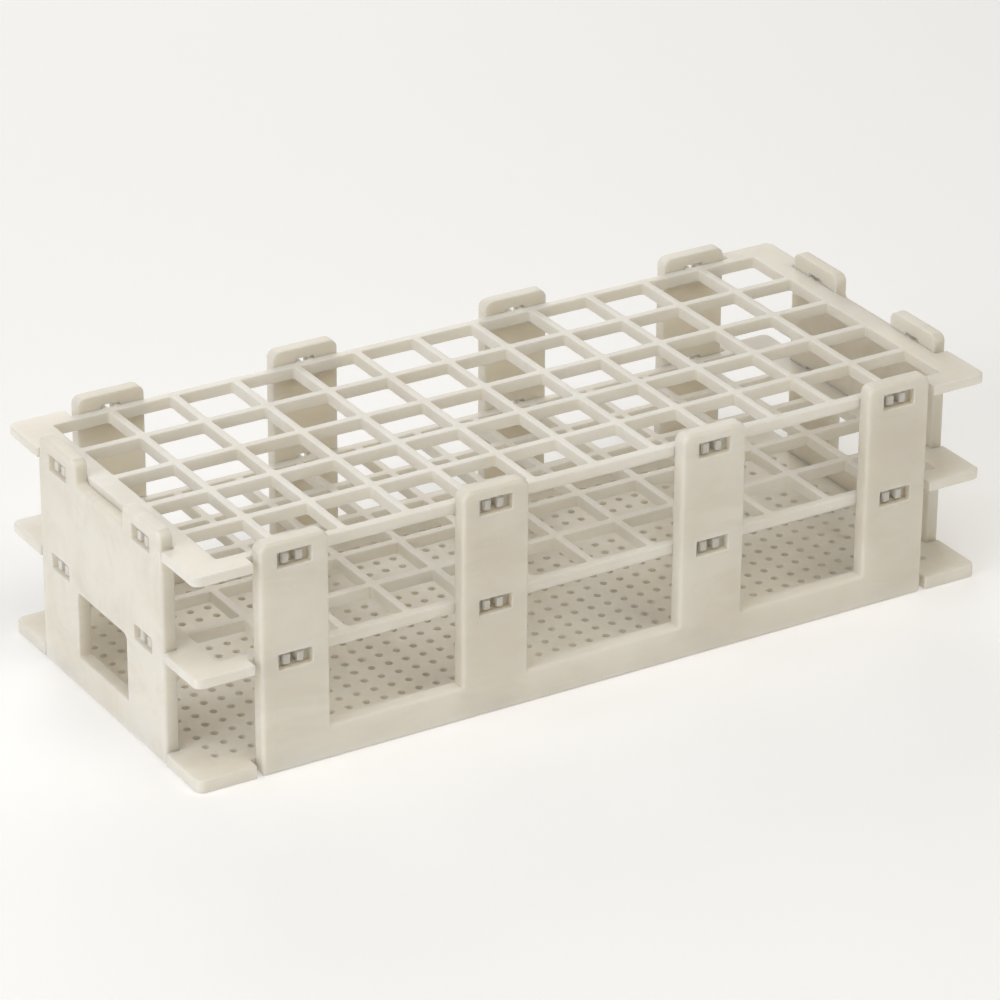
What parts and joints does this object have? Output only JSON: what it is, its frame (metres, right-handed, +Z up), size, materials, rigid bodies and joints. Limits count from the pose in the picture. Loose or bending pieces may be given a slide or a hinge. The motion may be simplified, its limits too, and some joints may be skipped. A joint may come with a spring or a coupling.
{
  "type": "test tube rack",
  "caption": "Flat-pack plastic test tube rack: perforated base, two lattice shelves of square tube places, legged side panels and end panels that snap together.",
  "frame": {"origin": "centre of the underside the rack stands on", "axes": "+X along the rack's length, +Y from the front side panel to the rear one, +Z up"},
  "size_m": [0.246, 0.107, 0.0671],
  "materials": {
    "moulded_plastic": "off-white moulded polypropylene, satin"
  },
  "bodies": {
    "root": {"base_plate": "moulded_plastic", "middle_shelf": "moulded_plastic", "top_shelf": "moulded_plastic", "front_side_panel": "moulded_plastic", "rear_side_panel": "moulded_plastic", "left_end_panel": "moulded_plastic", "right_end_panel": "moulded_plastic"}
  },
  "joints": []
}
